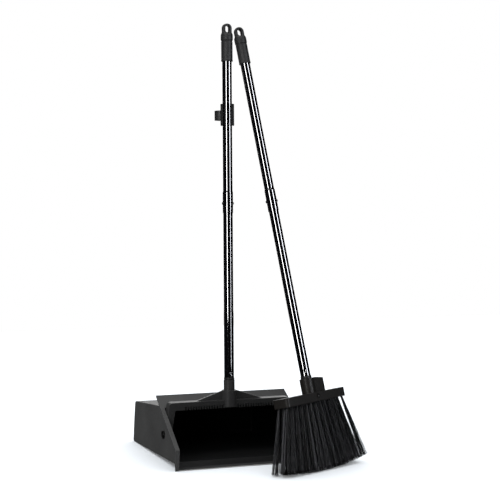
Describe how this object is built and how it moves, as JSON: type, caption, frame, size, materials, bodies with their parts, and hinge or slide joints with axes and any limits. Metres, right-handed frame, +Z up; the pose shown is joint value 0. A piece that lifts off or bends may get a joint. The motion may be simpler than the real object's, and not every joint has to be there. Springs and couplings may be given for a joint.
{
  "type": "lobby dust pan and broom set",
  "caption": "Upright black lobby dust pan on a tall two-part handle, with a matching upright broom leaning against it.",
  "frame": {"origin": "middle of the flat strip under the pan's front lip, on the floor", "axes": "+Z up, the pan opens towards -Y, +X is to the right for someone facing the opening"},
  "size_m": [0.432, 0.5321, 0.98],
  "materials": {
    "black_plastic": "satin black moulded plastic",
    "black_tube": "glossy black painted steel tube",
    "grip": "matte dark grey plastic",
    "bristle": "black synthetic bristle",
    "button": "black snap button",
    "wire": "plain steel wire"
  },
  "bodies": {
    "pan": {"pan_bin": "black_plastic"},
    "handle": {"yoke": "black_plastic", "pivot_pin_left": "black_plastic", "pivot_pin_right": "black_plastic", "pan_tube_tip": "black_plastic", "pan_lower_tube": "black_tube", "pan_upper_tube": "black_tube", "pan_button_spring": "wire", "pan_grip": "grip"},
    "pan_button_l": {"pan_button_left": "button"},
    "pan_button_r": {"pan_button_right": "button"},
    "clip": {"broom_clip": "black_plastic"},
    "broom": {"broom_block": "black_plastic", "tufts_front": "bristle", "tufts_middle": "bristle", "tufts_back": "bristle", "broom_staples": "wire", "broom_tube_tip": "black_plastic", "broom_lower_tube": "black_tube", "broom_upper_tube": "black_tube", "broom_button_spring": "wire", "broom_grip": "grip"},
    "broom_button_l": {"broom_button_left": "button"},
    "broom_button_r": {"broom_button_right": "button"}
  },
  "joints": [
    {"name": "pan_swing", "type": "hinge", "parent": "pan", "child": "handle", "pos_m": [0, 0.106, 0.0595], "axis": [1, 0, 0], "range_deg": [0, 90]},
    {"name": "pan_left_press", "type": "slide", "parent": "handle", "child": "pan_button_l", "axis": [1, 0, 0], "range_m": [0, 0.0024], "stiffness_N_per_m": 400, "springref_m": -0.002},
    {"name": "pan_right_press", "type": "slide", "parent": "handle", "child": "pan_button_r", "axis": [-1, 0, 0], "range_m": [0, 0.0024], "stiffness_N_per_m": 400, "springref_m": -0.002},
    {"name": "clip_slide", "type": "slide", "parent": "handle", "child": "clip", "axis": [0, 0.0192, 0.9998], "range_m": [-0.14, 0.09]},
    {"name": "broom_lift", "type": "slide", "parent": "pan", "child": "broom", "axis": [0, 0, 1], "range_m": [0, 0.3]},
    {"name": "broom_left_press", "type": "slide", "parent": "broom", "child": "broom_button_l", "axis": [0.9906, -0.0227, 0.1347], "range_m": [0, 0.0024], "stiffness_N_per_m": 400, "springref_m": -0.002},
    {"name": "broom_right_press", "type": "slide", "parent": "broom", "child": "broom_button_r", "axis": [-0.9906, 0.0227, -0.1347], "range_m": [0, 0.0024], "stiffness_N_per_m": 400, "springref_m": -0.002}
  ]
}
